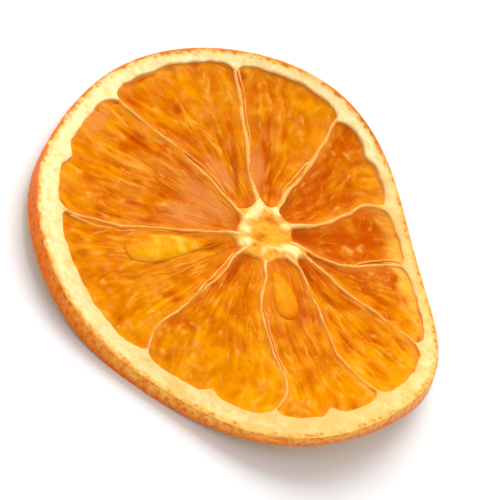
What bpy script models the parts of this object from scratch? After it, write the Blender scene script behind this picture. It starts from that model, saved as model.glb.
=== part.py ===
"""A dried orange slice: one solid of rind, pith, membranes and pulp, with two seeds in it, warped by drying.

Metres, +Z up. The slice lies face up on three low places of its rim, and the origin is the middle of the
box round it, at the floor. Every point of the slice is found from a place on its cut face: the share of
the way out from the core to the rim, and the direction of the rim point that it lies on the way to.
"""

import math

import bpy
import numpy as np

# Sizes of the whole slice.
FACE_RADIUS = 0.0306
RIND_HEIGHT = 0.0024
CORE_CENTRE = (0.0010, 0.0044)
CORE_RADIUS = 0.0038
CORE_PIT_RADIUS = 0.0016
CORE_PIT_DEPTH = 0.0004

# Waves round the rim: how many, height as a share of the radius, and the direction of a crest in degrees.
OUTLINE_WAVES = (
    (1, 0.0120, -169.0),
    (2, 0.0115, -41.5),
    (3, 0.0390, -13.2),
    (4, 0.0120, -34.8),
    (5, 0.0160, 17.7),
    (6, 0.0070, 21.9),
)

# The warp: three feet, one at this direction, with the rim lifted between them.
FOOT_DIRECTION = math.radians(44.0)
SADDLE_LIFT = 0.00125
TREFOIL_LIFT = 0.0022
FOOT_FLAT = 0.00012
# How far the underside reaches beyond the top: waves round the rim, as for the outline.
UNDERSIDE_WAVES = (
    (3, 0.0118, 16.0),
    (4, 0.0088, 14.0),
)

# Rind and pith, measured in from the rim, with the waves of the pith's width: how many, height, crest.
FLAVEDO_WIDTH = 0.00055
PITH_WIDTH = 0.0022
PITH_WAVES = (
    (1, 0.00090, -90.0),
    (2, 0.00012, 41.0),
    (3, 0.00036, -18.0),
    (4, 0.00022, -31.0),
    (5, 0.00012, 17.0),
)
# Places where the pith reaches into a segment: direction in degrees, reach, and half width in degrees.
PITH_BUMPS = (
    (82.0, 0.0005, 4.0),
    (197.0, 0.0008, 4.5),
    (291.0, 0.0010, 4.0),
    (327.0, 0.0010, 4.0),
)
RIM_BULGE = 0.00015
RIM_ROUNDNESS = 0.60

# Heights of the cut face above the middle of the slice's thickness.
RIND_LEVEL = RIND_HEIGHT / 2
PITH_LEVEL = 0.00104
MEMBRANE_LEVEL = 0.00088
CORE_LEVEL = 0.00108
PULP_LEVEL = 0.00060
PULP_SAG = 0.00015
FOLD_HEIGHT = 0.00010
FOLDS_ACROSS = 3.0
FOLD_PITCH = 0.0125

# A membrane's half width, the slope beside it, and the rounding where it meets pith or core.
MEMBRANE_HALF = 0.00022
PULP_SLOPE = 0.00080
CORNER_ROUNDING = 0.0011
MEMBRANE_RISE = 0.0060
CORE_RISE = 0.0050

# The direction of each membrane in degrees, at these shares of the way out.
STATIONS = (0.20, 0.40, 0.60, 0.85)
LAST_TURN = 0.86
MEMBRANES = (
    (27.0, 19.0, 17.2, 16.0),
    (40.0, 34.5, 39.0, 46.5),
    (70.0, 65.0, 67.0, 66.7),
    (99.0, 95.5, 94.0, 94.2),
    (127.5, 127.0, 126.5, 126.6),
    (168.0, 164.7, 164.7, 166.0),
    (222.0, 222.5, 222.5, 219.5),
    (260.0, 266.0, 265.0, 267.3),
    (308.5, 305.2, 312.0, 311.0),
    (366.0, 348.5, 342.0, 345.0),
)

# Seeds: centre on the cut face, direction of the pointed end in degrees, length, width and height.
SEEDS = (
    ((-0.0080, -0.0094), 57.0, 0.0134, 0.0040, 0.0016),
    ((0.0079, -0.0022), 137.0, 0.0082, 0.0034, 0.0015),
)
SEED_LIFT = 0.0001
SEED_TAPER = 0.38
SEED_RINGS = 12
SEED_SIDES = 20

# How finely the solid is cut into faces.
SEGMENT_COLUMNS = (8, 8, 8, 10, 12, 14, 14, 12, 10, 10)
TOP_PULP_ROWS = 15
UNDERSIDE_PULP_ROWS = 9
WALL_ROWS = 5

# Rows near the core, as lengths from its centre, and near the pith, as lengths inside the pith's edge.
CORE_ROWS = (0.0009, 0.0024, 0.0036, 0.0045)
FIRST_PULP_ROW = 0.0055
PITH_EDGE_ROWS = (0.0008, 0.0004, 0.0)
PITH_ROWS = (0.40, 0.80)
LAST_ROWS = (0.0005, 0.0)

# Colours, as linear red, green and blue.
PEEL_COLOUR = (0.80, 0.27, 0.03)
PITH_COLOUR = (0.95, 0.74, 0.34)
PULP_COLOUR = (0.84, 0.24, 0.01)
SEED_COLOUR = (0.93, 0.44, 0.03)
PEEL, PITH, PULP = range(3)

SHARP_EDGE = math.radians(50.0)
TINY = 0.00005


def clear_scene():
    """Removes whatever the scene starts with."""
    for old in list(bpy.data.objects):
        bpy.data.objects.remove(old)


def smooth_step(value, low, high):
    """0 at low, 1 at high, and an S-shaped change between."""
    share = np.clip((value - low) / (high - low), 0.0, 1.0)
    return share * share * (3.0 - 2.0 * share)


def smooth_least(first, second, rounding):
    """The smaller of two lengths, with the corner where they meet rounded off."""
    blend = np.clip(0.5 + 0.5 * (second - first) / rounding, 0.0, 1.0)
    return second + (first - second) * blend - rounding * blend * (1.0 - blend)


def wave_sum(direction, waves):
    """The sum of waves round the slice, each a cosine with its crest at its own direction."""
    total = np.zeros_like(direction)
    for count, height, crest in waves:
        total += height * np.cos(count * (direction - math.radians(crest)))
    return total


def rim_point(direction):
    """X and Y of the rim: the face radius with the outline waves on it."""
    radius = FACE_RADIUS * (1.0 + wave_sum(direction, OUTLINE_WAVES))
    return radius * np.cos(direction), radius * np.sin(direction)


def ray_length(direction):
    """Length of the straight way from the core's centre to the rim."""
    rim_x, rim_y = rim_point(direction)
    return np.hypot(rim_x - CORE_CENTRE[0], rim_y - CORE_CENTRE[1])


def face_point(out, direction):
    """X and Y of the place that share of the way from the core's centre to the rim."""
    rim_x, rim_y = rim_point(direction)
    x = CORE_CENTRE[0] + out * (rim_x - CORE_CENTRE[0])
    y = CORE_CENTRE[1] + out * (rim_y - CORE_CENTRE[1])
    return x, y


def warp_height(x, y):
    """Height of the warped middle sheet: a saddle kept level at its feet, and a three-armed wave."""
    share = np.hypot(x, y) / FACE_RADIUS
    turn = np.arctan2(y, x) - FOOT_DIRECTION
    saddle = SADDLE_LIFT * (share * np.cos(turn) - share**2 * np.cos(2 * turn))
    return saddle - TREFOIL_LIFT * share**3 * np.cos(3 * turn)


def warped(x, y, lift):
    """The point that stands lift off the warped middle sheet, along the sheet's own normal.

    The underside reaches a little further out than the top in places, and in others less far.
    """
    down = (RIND_LEVEL - lift) / RIND_HEIGHT
    grown = 1.0 + down * wave_sum(np.arctan2(y, x), UNDERSIDE_WAVES)
    x = x * grown
    y = y * grown
    slope_x = (warp_height(x + TINY, y) - warp_height(x - TINY, y)) / (2 * TINY)
    slope_y = (warp_height(x, y + TINY) - warp_height(x, y - TINY)) / (2 * TINY)
    rise = lift / np.sqrt(1.0 + slope_x**2 + slope_y**2)
    return np.stack([x - slope_x * rise, y - slope_y * rise, warp_height(x, y) + rise], -1)


def membrane_direction(index, out):
    """Direction of a membrane, by the cubic through its four stations; indices run on round the slice."""
    table = np.radians(np.array(MEMBRANES))[index % len(MEMBRANES)]
    out = np.clip(out, STATIONS[0], LAST_TURN)
    total = 2 * math.pi * (index // len(MEMBRANES)) + 0.0 * out
    for this, station in enumerate(STATIONS):
        weight = 1.0
        for other in STATIONS[:this] + STATIONS[this + 1:]:
            weight = weight * (out - other) / (station - other)
        total = total + weight * table[..., this]
    return total


def edge_width(direction):
    """Width of flavedo and pith together, from the rim to the pulp."""
    width = FLAVEDO_WIDTH + PITH_WIDTH + wave_sum(direction, PITH_WAVES)
    for where, reach, half_width in PITH_BUMPS:
        away = (direction - math.radians(where) + math.pi) % (2 * math.pi) - math.pi
        width = width + reach * np.exp(-(away / math.radians(half_width)) ** 2)
    return width


def across_segment(out, segment, column, count):
    """Direction of a column, its share of the way across the segment, and its length from a membrane.

    Beside a membrane the columns keep fixed lengths from it, so that its ridge stays sharp, and the
    others share out what is left of the segment evenly.
    """
    first = membrane_direction(segment, out)
    second = membrane_direction(segment + 1, out)
    width = np.maximum(out * ray_length((first + second) / 2) * (second - first), TINY)
    half = count / 2
    step = np.minimum(column, count - column)
    shoulder = np.minimum(1.6 * MEMBRANE_HALF / width, 0.5 / half)
    foot = np.minimum((MEMBRANE_HALF + PULP_SLOPE) / width, 1.0 / half)
    share = foot + (0.5 - foot) * (step - 2) / (half - 2)
    share = np.where(step == 1, shoulder, share)
    share = np.where(step == 0, 0.0, share)
    beside = width * share
    share = np.where(column > half, 1.0 - share, share)
    return first + share * (second - first), share, beside


def half_thickness(out, direction, share, beside, segment, side):
    """How far the face stands off the middle sheet: rind, pith, membrane, core or pulp, whichever is there."""
    ray = ray_length(direction)
    from_rim = (1.0 - out) * ray
    from_core = out * ray
    to_pith = from_rim - edge_width(direction)
    inside = smooth_least(beside - MEMBRANE_HALF, to_pith, CORNER_ROUNDING)
    inside = smooth_least(inside, from_core - CORE_RADIUS, CORNER_ROUNDING)
    pulp = smooth_step(inside, -0.0001, PULP_SLOPE)
    ridge = MEMBRANE_LEVEL + (PITH_LEVEL - MEMBRANE_LEVEL) * smooth_step(to_pith, MEMBRANE_RISE, 0.0)
    ridge = ridge + (CORE_LEVEL - MEMBRANE_LEVEL) * smooth_step(from_core, CORE_RADIUS + CORE_RISE, CORE_RADIUS)
    ridge = ridge + (RIND_LEVEL - PITH_LEVEL) * smooth_step(from_rim, FLAVEDO_WIDTH + PITH_WIDTH, 0.0)
    ridge = ridge - CORE_PIT_DEPTH * smooth_step(from_core, 2 * CORE_PIT_RADIUS, 0.0)
    phase = 2.3 * segment + 1.7 * side
    along = 2 * math.pi * from_core / FOLD_PITCH + phase
    folds = np.sin(2 * math.pi * FOLDS_ACROSS * share + phase + along) * np.sin(along)
    floor = PULP_LEVEL - PULP_SAG * np.sin(math.pi * share) + FOLD_HEIGHT * folds
    return ridge + pulp * (floor - ridge)


def columns():
    """For every column round the slice: its segment, its number in that segment, and how many the segment has."""
    segment = np.repeat(np.arange(len(SEGMENT_COLUMNS)), SEGMENT_COLUMNS)
    column = np.concatenate([np.arange(count) for count in SEGMENT_COLUMNS])
    return segment, column, np.array(SEGMENT_COLUMNS)[segment]


def face_rows(pulp_rows, side):
    """One cut face, as rows of points from the core to the rim. side is 1 for the top, -1 for the underside."""
    segment, column, count = columns()
    outer = across_segment(np.full(column.shape, LAST_TURN), segment, column, count)[0]
    ray = ray_length(outer)
    edge = edge_width(outer)
    last_pulp = ray - edge - PITH_EDGE_ROWS[0]
    lengths = [np.full(ray.shape, length) for length in CORE_ROWS]
    for step in range(pulp_rows):
        lengths.append(FIRST_PULP_ROW + (last_pulp - FIRST_PULP_ROW) * step / pulp_rows)
    lengths += [ray - edge - inward for inward in PITH_EDGE_ROWS]
    lengths += [ray - edge * (1.0 - share) - LAST_ROWS[0] * share for share in PITH_ROWS]
    lengths += [ray - inward for inward in LAST_ROWS]
    out = np.stack(lengths) / ray
    direction, share, beside = across_segment(out, segment, column, count)
    x, y = face_point(out, direction)
    return warped(x, y, side * half_thickness(out, direction, share, beside, segment, side))


def wall_rows():
    """The rind's outer wall, bulging between its two rounded edges, as rows from top to bottom."""
    segment, column, count = columns()
    level = np.arange(1, WALL_ROWS + 1)[:, None]
    swing = math.pi * (0.5 - level / (WALL_ROWS + 1))
    lift = RIND_LEVEL * np.sign(np.sin(swing)) * np.abs(np.sin(swing)) ** RIM_ROUNDNESS
    bulge = RIM_BULGE * np.cos(swing) ** RIM_ROUNDNESS
    direction = across_segment(np.ones(column.shape), segment, column, count)[0]
    x, y = face_point(1.0 + bulge / ray_length(direction), direction + 0.0 * bulge)
    return warped(x, y, lift + 0.0 * x)


def material(name, colour, roughness):
    """A plain Principled material."""
    made = bpy.data.materials.new(name)
    made.use_nodes = True
    shader = made.node_tree.nodes["Principled BSDF"]
    shader.inputs["Base Color"].default_value = (*colour, 1.0)
    shader.inputs["Roughness"].default_value = roughness
    shader.inputs["Metallic"].default_value = 0.0
    return made


def row_kinds(row_count, top_count, under_count):
    """Which material each band between two rows has in mid segment, from the top's core round to the underside's."""
    kinds = []
    for line in range(row_count - 1):
        from_top_core = line
        from_under_core = row_count - 2 - line
        from_core = min(from_top_core, from_under_core)
        rows = top_count if from_top_core < from_under_core else under_count
        from_rim = rows - 2 - from_core
        if from_rim < 1:
            kinds.append(PEEL)
        elif from_rim < len(PITH_ROWS) + 2 or from_core < len(CORE_ROWS) - 1:
            kinds.append(PITH)
        else:
            kinds.append(PULP)
    return kinds


def slice_body(materials):
    """The slice without its seeds: top face, wall and underside as one closed grid with a point at each core."""
    top = face_rows(TOP_PULP_ROWS, 1)
    under = face_rows(UNDERSIDE_PULP_ROWS, -1)
    grid = np.concatenate([top, wall_rows(), under[::-1]])
    lines, around = grid.shape[:2]
    centre = np.array([CORE_CENTRE, CORE_CENTRE])
    pit = CORE_LEVEL - CORE_PIT_DEPTH
    poles = warped(centre[:, 0], centre[:, 1], np.array([pit, -pit]))
    points = np.concatenate([grid.reshape(-1, 3), poles])
    top_pole = lines * around
    column, count = columns()[1:]
    at_membrane = (column == 0) | (column == count - 1)
    faces = []
    kinds = []
    for step in range(around):
        faces.append((top_pole, step, (step + 1) % around))
        kinds.append(PITH)
    for line, kind in enumerate(row_kinds(lines, len(top), len(under))):
        for step in range(around):
            after = (step + 1) % around
            near = line * around
            far = near + around
            faces.append((near + step, far + step, far + after, near + after))
            kinds.append(PITH if kind == PULP and at_membrane[step] else kind)
    last = (lines - 1) * around
    for step in range(around):
        faces.append((last + step, top_pole + 1, last + (step + 1) % around))
        kinds.append(PITH)
    mesh = bpy.data.meshes.new("dried_orange_slice")
    mesh.from_pydata(points.tolist(), [], faces)
    for made in materials:
        mesh.materials.append(made)
    mesh.polygons.foreach_set("material_index", kinds)
    body = bpy.data.objects.new("dried_orange_slice", mesh)
    bpy.context.scene.collection.objects.link(body)
    return body


def seed(number, centre, pointing, length, width, height, made):
    """A seed: rings along its length, narrowed towards the core, laid half sunk in the pulp."""
    angle = math.radians(pointing)
    along = np.linspace(-1.0, 1.0, SEED_RINGS + 1)[1:-1]
    around = np.linspace(0.0, 2 * math.pi, SEED_SIDES, endpoint=False)
    girth = np.sqrt(1.0 - along**2) * (1.0 - SEED_TAPER * along)
    reach = along[:, None] * length / 2 + 0.0 * around
    aside = girth[:, None] * np.cos(around) * width / 2
    raised = girth[:, None] * np.sin(around) * height / 2
    tips = np.array([[-length / 2, 0.0, 0.0], [length / 2, 0.0, 0.0]])
    local = np.concatenate([np.stack([reach, aside, raised], -1).reshape(-1, 3), tips])
    x = centre[0] + local[:, 0] * math.cos(angle) - local[:, 1] * math.sin(angle)
    y = centre[1] + local[:, 0] * math.sin(angle) + local[:, 1] * math.cos(angle)
    points = warped(x, y, PULP_LEVEL - PULP_SAG + SEED_LIFT + local[:, 2])
    rings = len(along)
    faces = []
    for ring in range(rings - 1):
        for side in range(SEED_SIDES):
            after = (side + 1) % SEED_SIDES
            low = ring * SEED_SIDES
            high = low + SEED_SIDES
            faces.append((low + side, high + side, high + after, low + after))
    last = (rings - 1) * SEED_SIDES
    for side in range(SEED_SIDES):
        after = (side + 1) % SEED_SIDES
        faces.append((rings * SEED_SIDES, side, after))
        faces.append((rings * SEED_SIDES + 1, last + after, last + side))
    mesh = bpy.data.meshes.new(f"seed_{number}")
    mesh.from_pydata(points.tolist(), [], faces)
    mesh.materials.append(made)
    return bpy.data.objects.new(f"seed_{number}", mesh)


def fuse_seeds(body, seeds):
    """One Boolean union of the body with all the seeds, applied, with the seeds then removed."""
    loose = bpy.data.collections.new("seeds")
    bpy.context.scene.collection.children.link(loose)
    for one in seeds:
        loose.objects.link(one)
    union = body.modifiers.new("seeds", "BOOLEAN")
    union.operation = "UNION"
    union.operand_type = "COLLECTION"
    union.collection = loose
    union.solver = "EXACT"
    union.material_mode = "TRANSFER"
    bpy.context.view_layer.update()
    graph = bpy.context.evaluated_depsgraph_get()
    fused = bpy.data.meshes.new_from_object(body.evaluated_get(graph), depsgraph=graph)
    body.modifiers.clear()
    body.data = fused
    for one in seeds:
        bpy.data.objects.remove(one)
    bpy.data.collections.remove(loose)


def lowest_feet(points):
    """The lowest point within each third of the slice that has a foot in its middle."""
    turn = np.arctan2(points[:, 1], points[:, 0]) - FOOT_DIRECTION
    third = np.round(turn / (2 * math.pi / 3)).astype(int) % 3
    feet = []
    for number in range(3):
        own = points[third == number]
        feet.append(own[own[:, 2].argmin()])
    return np.array(feet)


def set_down(body):
    """Levels the slice on its three feet, flattens their tips and moves its middle over the origin."""
    mesh = body.data
    points = np.empty(len(mesh.vertices) * 3, np.float32)
    mesh.vertices.foreach_get("co", points)
    points = points.reshape(-1, 3).astype(float)
    feet = lowest_feet(points)
    plane = np.linalg.solve(np.column_stack([feet[:, :2], np.ones(3)]), feet[:, 2])
    points[:, 2] -= points[:, 0] * plane[0] + points[:, 1] * plane[1]
    points[:, 2] = np.maximum(points[:, 2], points[:, 2].min() + FOOT_FLAT)
    low = points.min(0)
    high = points.max(0)
    points -= [(low[0] + high[0]) / 2, (low[1] + high[1]) / 2, low[2]]
    mesh.vertices.foreach_set("co", points.astype(np.float32).ravel())
    mesh.update()


def main():
    """Builds the slice, fuses its seeds in and sets it down."""
    clear_scene()
    peel = material("peel", PEEL_COLOUR, 0.55)
    pith = material("pith", PITH_COLOUR, 0.75)
    pulp = material("pulp", PULP_COLOUR, 0.42)
    seed_skin = material("seed", SEED_COLOUR, 0.35)
    body = slice_body((peel, pith, pulp))
    seeds = [seed(number, *sizes, seed_skin) for number, sizes in enumerate(SEEDS, 1)]
    fuse_seeds(body, seeds)
    set_down(body)
    body.data.shade_smooth()
    body.data.set_sharp_from_angle(angle=SHARP_EDGE)


main()
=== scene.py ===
"""The looks of a dried orange slice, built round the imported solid.

Lengths are in millimetres until a mesh is made, and directions in radians. Every surface is a function of two
numbers on a grid. A place on the cut face is given by the share of the way out from the core to the rim and
by the direction of the rim point that it lies on the way to; lift is the height above the middle of the
slice's thickness, before drying has warped it.
"""

import math

import bpy
import numpy as np
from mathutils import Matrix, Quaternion, Vector


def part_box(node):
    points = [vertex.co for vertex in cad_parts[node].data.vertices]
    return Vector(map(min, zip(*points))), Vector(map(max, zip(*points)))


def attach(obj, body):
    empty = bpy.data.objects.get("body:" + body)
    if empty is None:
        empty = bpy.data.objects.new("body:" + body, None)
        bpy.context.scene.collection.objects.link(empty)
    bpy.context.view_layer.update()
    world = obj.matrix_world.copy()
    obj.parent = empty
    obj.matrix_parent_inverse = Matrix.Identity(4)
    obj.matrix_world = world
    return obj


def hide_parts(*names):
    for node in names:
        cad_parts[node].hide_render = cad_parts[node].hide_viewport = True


NODE = "dried_orange_slice"
BODY = "root"
METRE = 1000.0
TURN = 2 * math.pi
# The cut face that is shown and the one underneath.
SIDES = (1, -1)

# The slice, as in the solid.
FACE_RADIUS = 30.6
CORE_CENTRE = (1.0, 4.4)
OUTLINE_WAVES = (
    (1, 0.0120, -169.0), (2, 0.0115, -41.5), (3, 0.0390, -13.2),
    (4, 0.0120, -34.8), (5, 0.0160, 17.7), (6, 0.0070, 21.9),
)
FOOT_DIRECTION = math.radians(44.0)
SADDLE_LIFT = 1.25
TREFOIL_LIFT = 2.2
FOOT_FLAT = 0.12
UNDERSIDE_WAVES = ((3, 0.0118, 16.0), (4, 0.0088, 14.0))
FLAVEDO_WIDTH = 0.55
PITH_WIDTH = 2.2
PITH_WAVES = ((1, 0.9, -90.0), (2, 0.12, 41.0), (3, 0.36, -18.0), (4, 0.22, -31.0), (5, 0.12, 17.0))
RIM_BULGE = 0.15
RIM_ROUNDNESS = 0.60
RIND_LEVEL = 1.2
PITH_LEVEL = 1.04
MEMBRANE_LEVEL = 0.88
CORE_LEVEL = 1.08
PULP_LEVEL = 0.60
PULP_SAG = 0.15
STATIONS = (0.20, 0.40, 0.60, 0.85)
LAST_TURN = 0.86
MEMBRANES = (
    (27.0, 19.0, 17.2, 16.0),
    (40.0, 34.5, 39.0, 46.5),
    (70.0, 65.0, 67.0, 66.7),
    (99.0, 95.5, 94.0, 94.2),
    (127.5, 127.0, 126.5, 126.6),
    (168.0, 164.7, 164.7, 166.0),
    (222.0, 222.5, 222.5, 219.5),
    (260.0, 266.0, 265.0, 267.3),
    (308.5, 305.2, 312.0, 311.0),
    (366.0, 348.5, 342.0, 345.0),
)
SEEDS = (
    ((-8.0, -9.4), 57.0, 13.4, 4.0, 1.6),
    ((7.9, -2.2), 137.0, 8.2, 3.4, 1.5),
)
SEED_LIFT = 0.1
SEED_TAPER = 0.38

# What only the looks have.
# Places where the pith reaches into a segment: direction in degrees, reach, and half width in degrees.
PITH_BUMPS = ((82.0, 0.7, 2.2), (197.0, 1.0, 3.5), (291.0, 1.3, 2.4), (327.0, 1.2, 2.4))
PITH_FRAY = 0.09
CORNER_REACH = 1.5
CORNER_WIDTH = 0.85
# Half width of each membrane and how far it stands above or below the usual height.
MEMBRANE_FORMS = (
    (0.19, -0.02), (0.20, 0.00), (0.24, 0.02), (0.26, -0.02), (0.28, 0.00),
    (0.23, -0.02), (0.24, 0.02), (0.21, 0.02), (0.23, 0.02), (0.19, 0.00),
)
MEMBRANE_WAVER = 0.22
# The pulp of each segment: how light it is, from 0, dark amber, to 1, bright; how much dried film is on it;
# and how much lighter it gets from the core to the pith, and from its first membrane to its second.
SEGMENT_TONES = (
    (0.50, 0.05, 0.2, -1.1),
    (0.10, 0.00, 0.0, 0.0),
    (0.40, 0.00, 0.7, -0.4),
    (0.75, 0.25, 0.8, -0.2),
    (0.70, 0.35, 0.4, -0.3),
    (0.65, 0.35, 0.9, 0.0),
    (0.80, 0.00, 0.5, 0.5),
    (0.95, 0.00, 1.1, 0.7),
    (0.80, 0.00, 0.9, -0.2),
    (0.85, 0.05, 1.3, -0.4),
)
# Patches on the pulp: centre, half length, half width and the direction of their length in degrees.
# Sunk patches of the pulp, painted with shade.
DEEP_PATCHES = (
    (4.4, 8.9, 2.3, 1.3, 52.0),
    (0.4, 12.0, 2.6, 0.9, 100.0),
    (11.6, -2.9, 3.2, 0.9, 118.0),
    (-3.4, -3.6, 2.4, 0.8, 60.0),
    (8.0, 4.4, 3.0, 0.8, -25.0),
    (13.0, 3.4, 2.4, 0.8, -4.0),
    (-8.0, 10.6, 4.5, 0.5, 128.0),
    (0.9, -3.4, 3.5, 0.6, 95.0),
    (-25.8, 12.2, 2.2, 0.7, 72.0),
    (-15.5, 22.8, 1.2, 0.8, 40.0),
)
FILM_PATCHES = (
    (-8.5, 2.4, 5.0, 2.4, 176.0),
    (-8.5, -1.8, 3.6, 2.0, 215.0),
    (-9.0, 7.9, 3.2, 1.6, 155.0),
    (-5.6, 12.6, 3.6, 1.4, 122.0),
    (-26.0, 1.5, 1.2, 3.0, 180.0),
)
# The pith's fibres over the outer pulp: how far in they reach, the direction of their middle as seen from the
# core and their half width in degrees.
FRINGE = (3.6, 38.0, 26.0)

# How finely each surface is divided.
RIND_COLUMNS = 1152
RIND_FACE_ROWS = 26
SHOULDER_ROWS = 6
RIM_ROWS = 18
MEMBRANE_START = 2.6
MEMBRANE_ROWS = 240
MEMBRANE_SIDES = 24
CORE_POINTS = 150
CORE_HALF = 8.0
PULP_ROWS = 210
PULP_SPACING = 0.18
PULP_CROWDING = 0.35
SEED_RINGS = 60
SEED_SIDES = 64

# The rind.
# Two rows of it under the pulp: how far in from the edge of the pith, and how far down.
HIDDEN_ROWS = ((0.9, 1.05), (0.35, 0.75))
SHOULDER_RADIUS = 0.30
FLAVEDO_FRAY = 0.34
COTTON_FIBRES = 0.05
COTTON_LUMPS = 0.07
GLAND_DEPTH = 0.07
PORE_DEPTH = 0.07
PEEL_DENTS = 0.06
PEEL_WRINKLES = 0.04
PEEL_INSET = 0.02
# Oil glands and pores in one round of the rind.
GLANDS = 210
PORES = 210
PALEST_DIRECTION = 185.0
# Places of the pith that are paler than the rest: direction and half width in degrees, and how much.
PALE_PLACES = ((8.0, 18.0, 0.4), (88.0, 16.0, 0.45))

# The core.
# How far it reaches from its centre in each segment.
CORE_REACH = (6.0, 4.3, 4.6, 4.8, 4.6, 3.8, 4.8, 4.2, 3.9, 5.4)
# Its lumps: centre, half length, half width, direction of their length in degrees, height.
CORE_LOBES = (
    (-2.2, 7.9, 1.8, 1.1, 100.0, 1.0),
    (-0.1, 8.9, 1.4, 1.1, 150.0, 0.9),
    (-2.4, 5.1, 2.0, 0.8, 80.0, 0.9),
    (-1.6, 2.9, 1.7, 0.9, 60.0, 0.8),
    (-0.3, 1.0, 1.7, 1.1, 230.0, 0.9),
    (2.5, 1.9, 1.3, 0.7, 280.0, 0.6),
    (3.6, 4.0, 1.6, 0.8, 40.0, 0.7),
    (5.2, 5.6, 1.8, 1.2, 20.0, 1.0),
    (2.5, 8.2, 1.5, 0.9, 60.0, 0.7),
)
CORE_PITS = (
    (0.6, 3.5, 1.1, 0.6, 60.0),
    (0.2, 6.8, 1.3, 0.5, 30.0),
    (4.4, 7.7, 0.9, 0.6, 50.0),
    (1.2, 1.7, 0.7, 0.4, 60.0),
)
CORE_MIDDLE = ((1.4, 5.2, 2.8, 2.2, 40.0),)
CORE_UNDER_PULP = 0.1
CORE_PLATE = 0.90
CORE_LOBE_RISE = 0.26
CORE_PIT_DEPTH = 0.34
CORE_MIDDLE_DEPTH = 0.06
CORE_FIBRES = 0.07
CORE_SWELLING = 0.10

# The pulp.
# Juice sacs: width at the widest part of a segment, and length.
SAC_WIDTH = 1.6
SAC_LENGTH = 4.2
SAC_STEP = 0.28
SAC_SLOPE = 0.30
SAC_WALL = 0.03
PULP_STREAK = 0.06
PULP_WRINKLE = 0.03
PULP_SWELLING = 0.09
PULP_GRAIN = 0.03
PULP_CLIMB = 0.20
PULP_TUCK = 0.3
FILM_RISE = 0.10
DEEP_DROP = 0.24
FRINGE_RISE = 0.08
GLINT_RISE = 0.05
CREASE_RISE = 0.05
GAP_DROP = 0.18
GLAZE_RISE = 0.30

# The membranes.
MEMBRANE_UNEVENNESS = 0.30
MEMBRANE_ROOTS = (0.12, 0.14)
MEMBRANE_LEAN = 0.16
CREST_WAVER = 0.10
CREST_SINK = (0.60, 0.45)
FOLD_SINK = 0.45
# Folds beside membranes: which, how far aside, from what share of its length to what, half width, rise.
FOLDS = (
    (6, 0.9, 0.55, 0.95, 0.13, -0.08),
    (4, -0.7, 0.45, 0.98, 0.12, -0.06),
    (1, 0.8, 0.50, 0.98, 0.13, -0.04),
    (5, -0.8, 0.15, 0.55, 0.11, -0.10),
    (7, -0.6, 0.10, 0.50, 0.14, -0.04),
    (8, 0.7, 0.30, 0.75, 0.12, -0.06),
    (3, 0.6, 0.20, 0.60, 0.11, -0.08),
)

# The seeds.
# The glaze of dried juice round each, as a patch on the pulp.
SEED_GLAZES = ((-8.2, -9.7, 8.2, 3.2, 57.0), (7.7, -2.0, 5.2, 2.7, 137.0))
# How yellow each is.
SEED_GLOWS = (1.0, 0.5)
# The side of each that is painted yellower, as light glowing through it: 1 for its left as seen from its
# blunt end, -1 for its right.
SEED_PAINTED_GLOW_SIDES = (-1.0, 1.0)
# How far each bends to its left, which gives it one straighter side.
SEED_BENDS = (0.2, -0.5)
SEED_RIDGES = (0.05, 0.03)

# Colours, as they look on screen, from 0 to 255.
PITH_GOLD = (249, 196, 116)
PITH_CREAM = (255, 240, 180)
PITH_BY_PULP = (248, 188, 90)
PITH_BLOTCH = (246, 190, 96)
PITH_BY_PEEL = (252, 200, 104)
PITH_WALL_SHADE = (226, 112, 8)
PEEL_ORANGE = (242, 132, 20)
PEEL_YELLOW = (255, 196, 96)
PEEL_FOOT_SHADE = (232, 104, 20)
PEEL_BOUNCE_SHADE = (234, 104, 0)
PEEL_PORE = (212, 86, 0)
PEEL_EDGE = (252, 184, 70)
CUT_GLAND = (206, 106, 8)
MEMBRANE_ORANGE = (240, 144, 46)
MEMBRANE_PALE = (253, 184, 98)
MEMBRANE_CREAM = (255, 214, 138)
CORE_AMBER = (242, 152, 44)
CORE_GOLD = (252, 180, 70)
CORE_YELLOW = (252, 170, 30)
CORE_CREAM = (255, 234, 158)
CORE_PIT = (214, 120, 16)
CORE_ROOT = (216, 104, 6)
PULP_DARK = (196, 80, 0)
PULP_LIGHT = (247, 164, 2)
PULP_WALL_SHEEN = (255, 190, 70)
PULP_GLINT = (255, 190, 90)
PULP_FILM = (220, 136, 66)
PULP_FRINGE = (252, 186, 68)
PULP_HOLLOW_SHADE = (170, 62, 0)
PULP_SIDE = (248, 152, 52)
PULP_GLAZE = (250, 154, 0)
SEED_AMBER = (242, 120, 0)
SEED_YELLOW = (255, 178, 14)
SEED_HIGHLIGHT = (255, 208, 80)
GLOSS = (255, 200, 100)
SEED_GLOSS = (255, 210, 100)
GLAZE_ROUGHNESS = 0.25

# The floor, the light and the camera.
FLOOR_HALF = 2.0
FLOOR_LIGHT = (0.93, 0.93, 0.93, 1.0)
FLOOR_ROUGHNESS = 0.9
SURROUNDING_LIGHT = 0.7
KEY_DIRECTION = (-0.30, 0.60, 0.74)
KEY_DISTANCE = 1.0
KEY_SIZE = 0.8
KEY_POWER = 9.0
CAMERA_LENS = 1000.0
CAMERA_ELEVATION = 44.2
CAMERA_ROLL = 41.2
CAMERA_FIELD = 0.067
CAMERA_AIM = (0.0, 0.0, 0.0035)

SHUFFLE = np.random.default_rng(11).permutation(1024)
CHANCE = np.random.default_rng(12).random(1024)


def chance(i, j, salt):
    """A fixed random number from 0 to 1 for each pair of whole numbers, read from a table shuffled twice."""
    first = SHUFFLE[(i + 37 * salt) % 1024]
    return CHANCE[SHUFFLE[(first + j) % 1024]]


def smooth_step(value, low, high):
    """0 at low, 1 at high, and an S-shaped change between."""
    share = np.clip((value - low) / (high - low), 0.0, 1.0)
    return share * share * (3.0 - 2.0 * share)


def bell(value):
    """1 at 0, falling off to both sides as a bell curve."""
    return np.exp(-(value**2))


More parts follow.
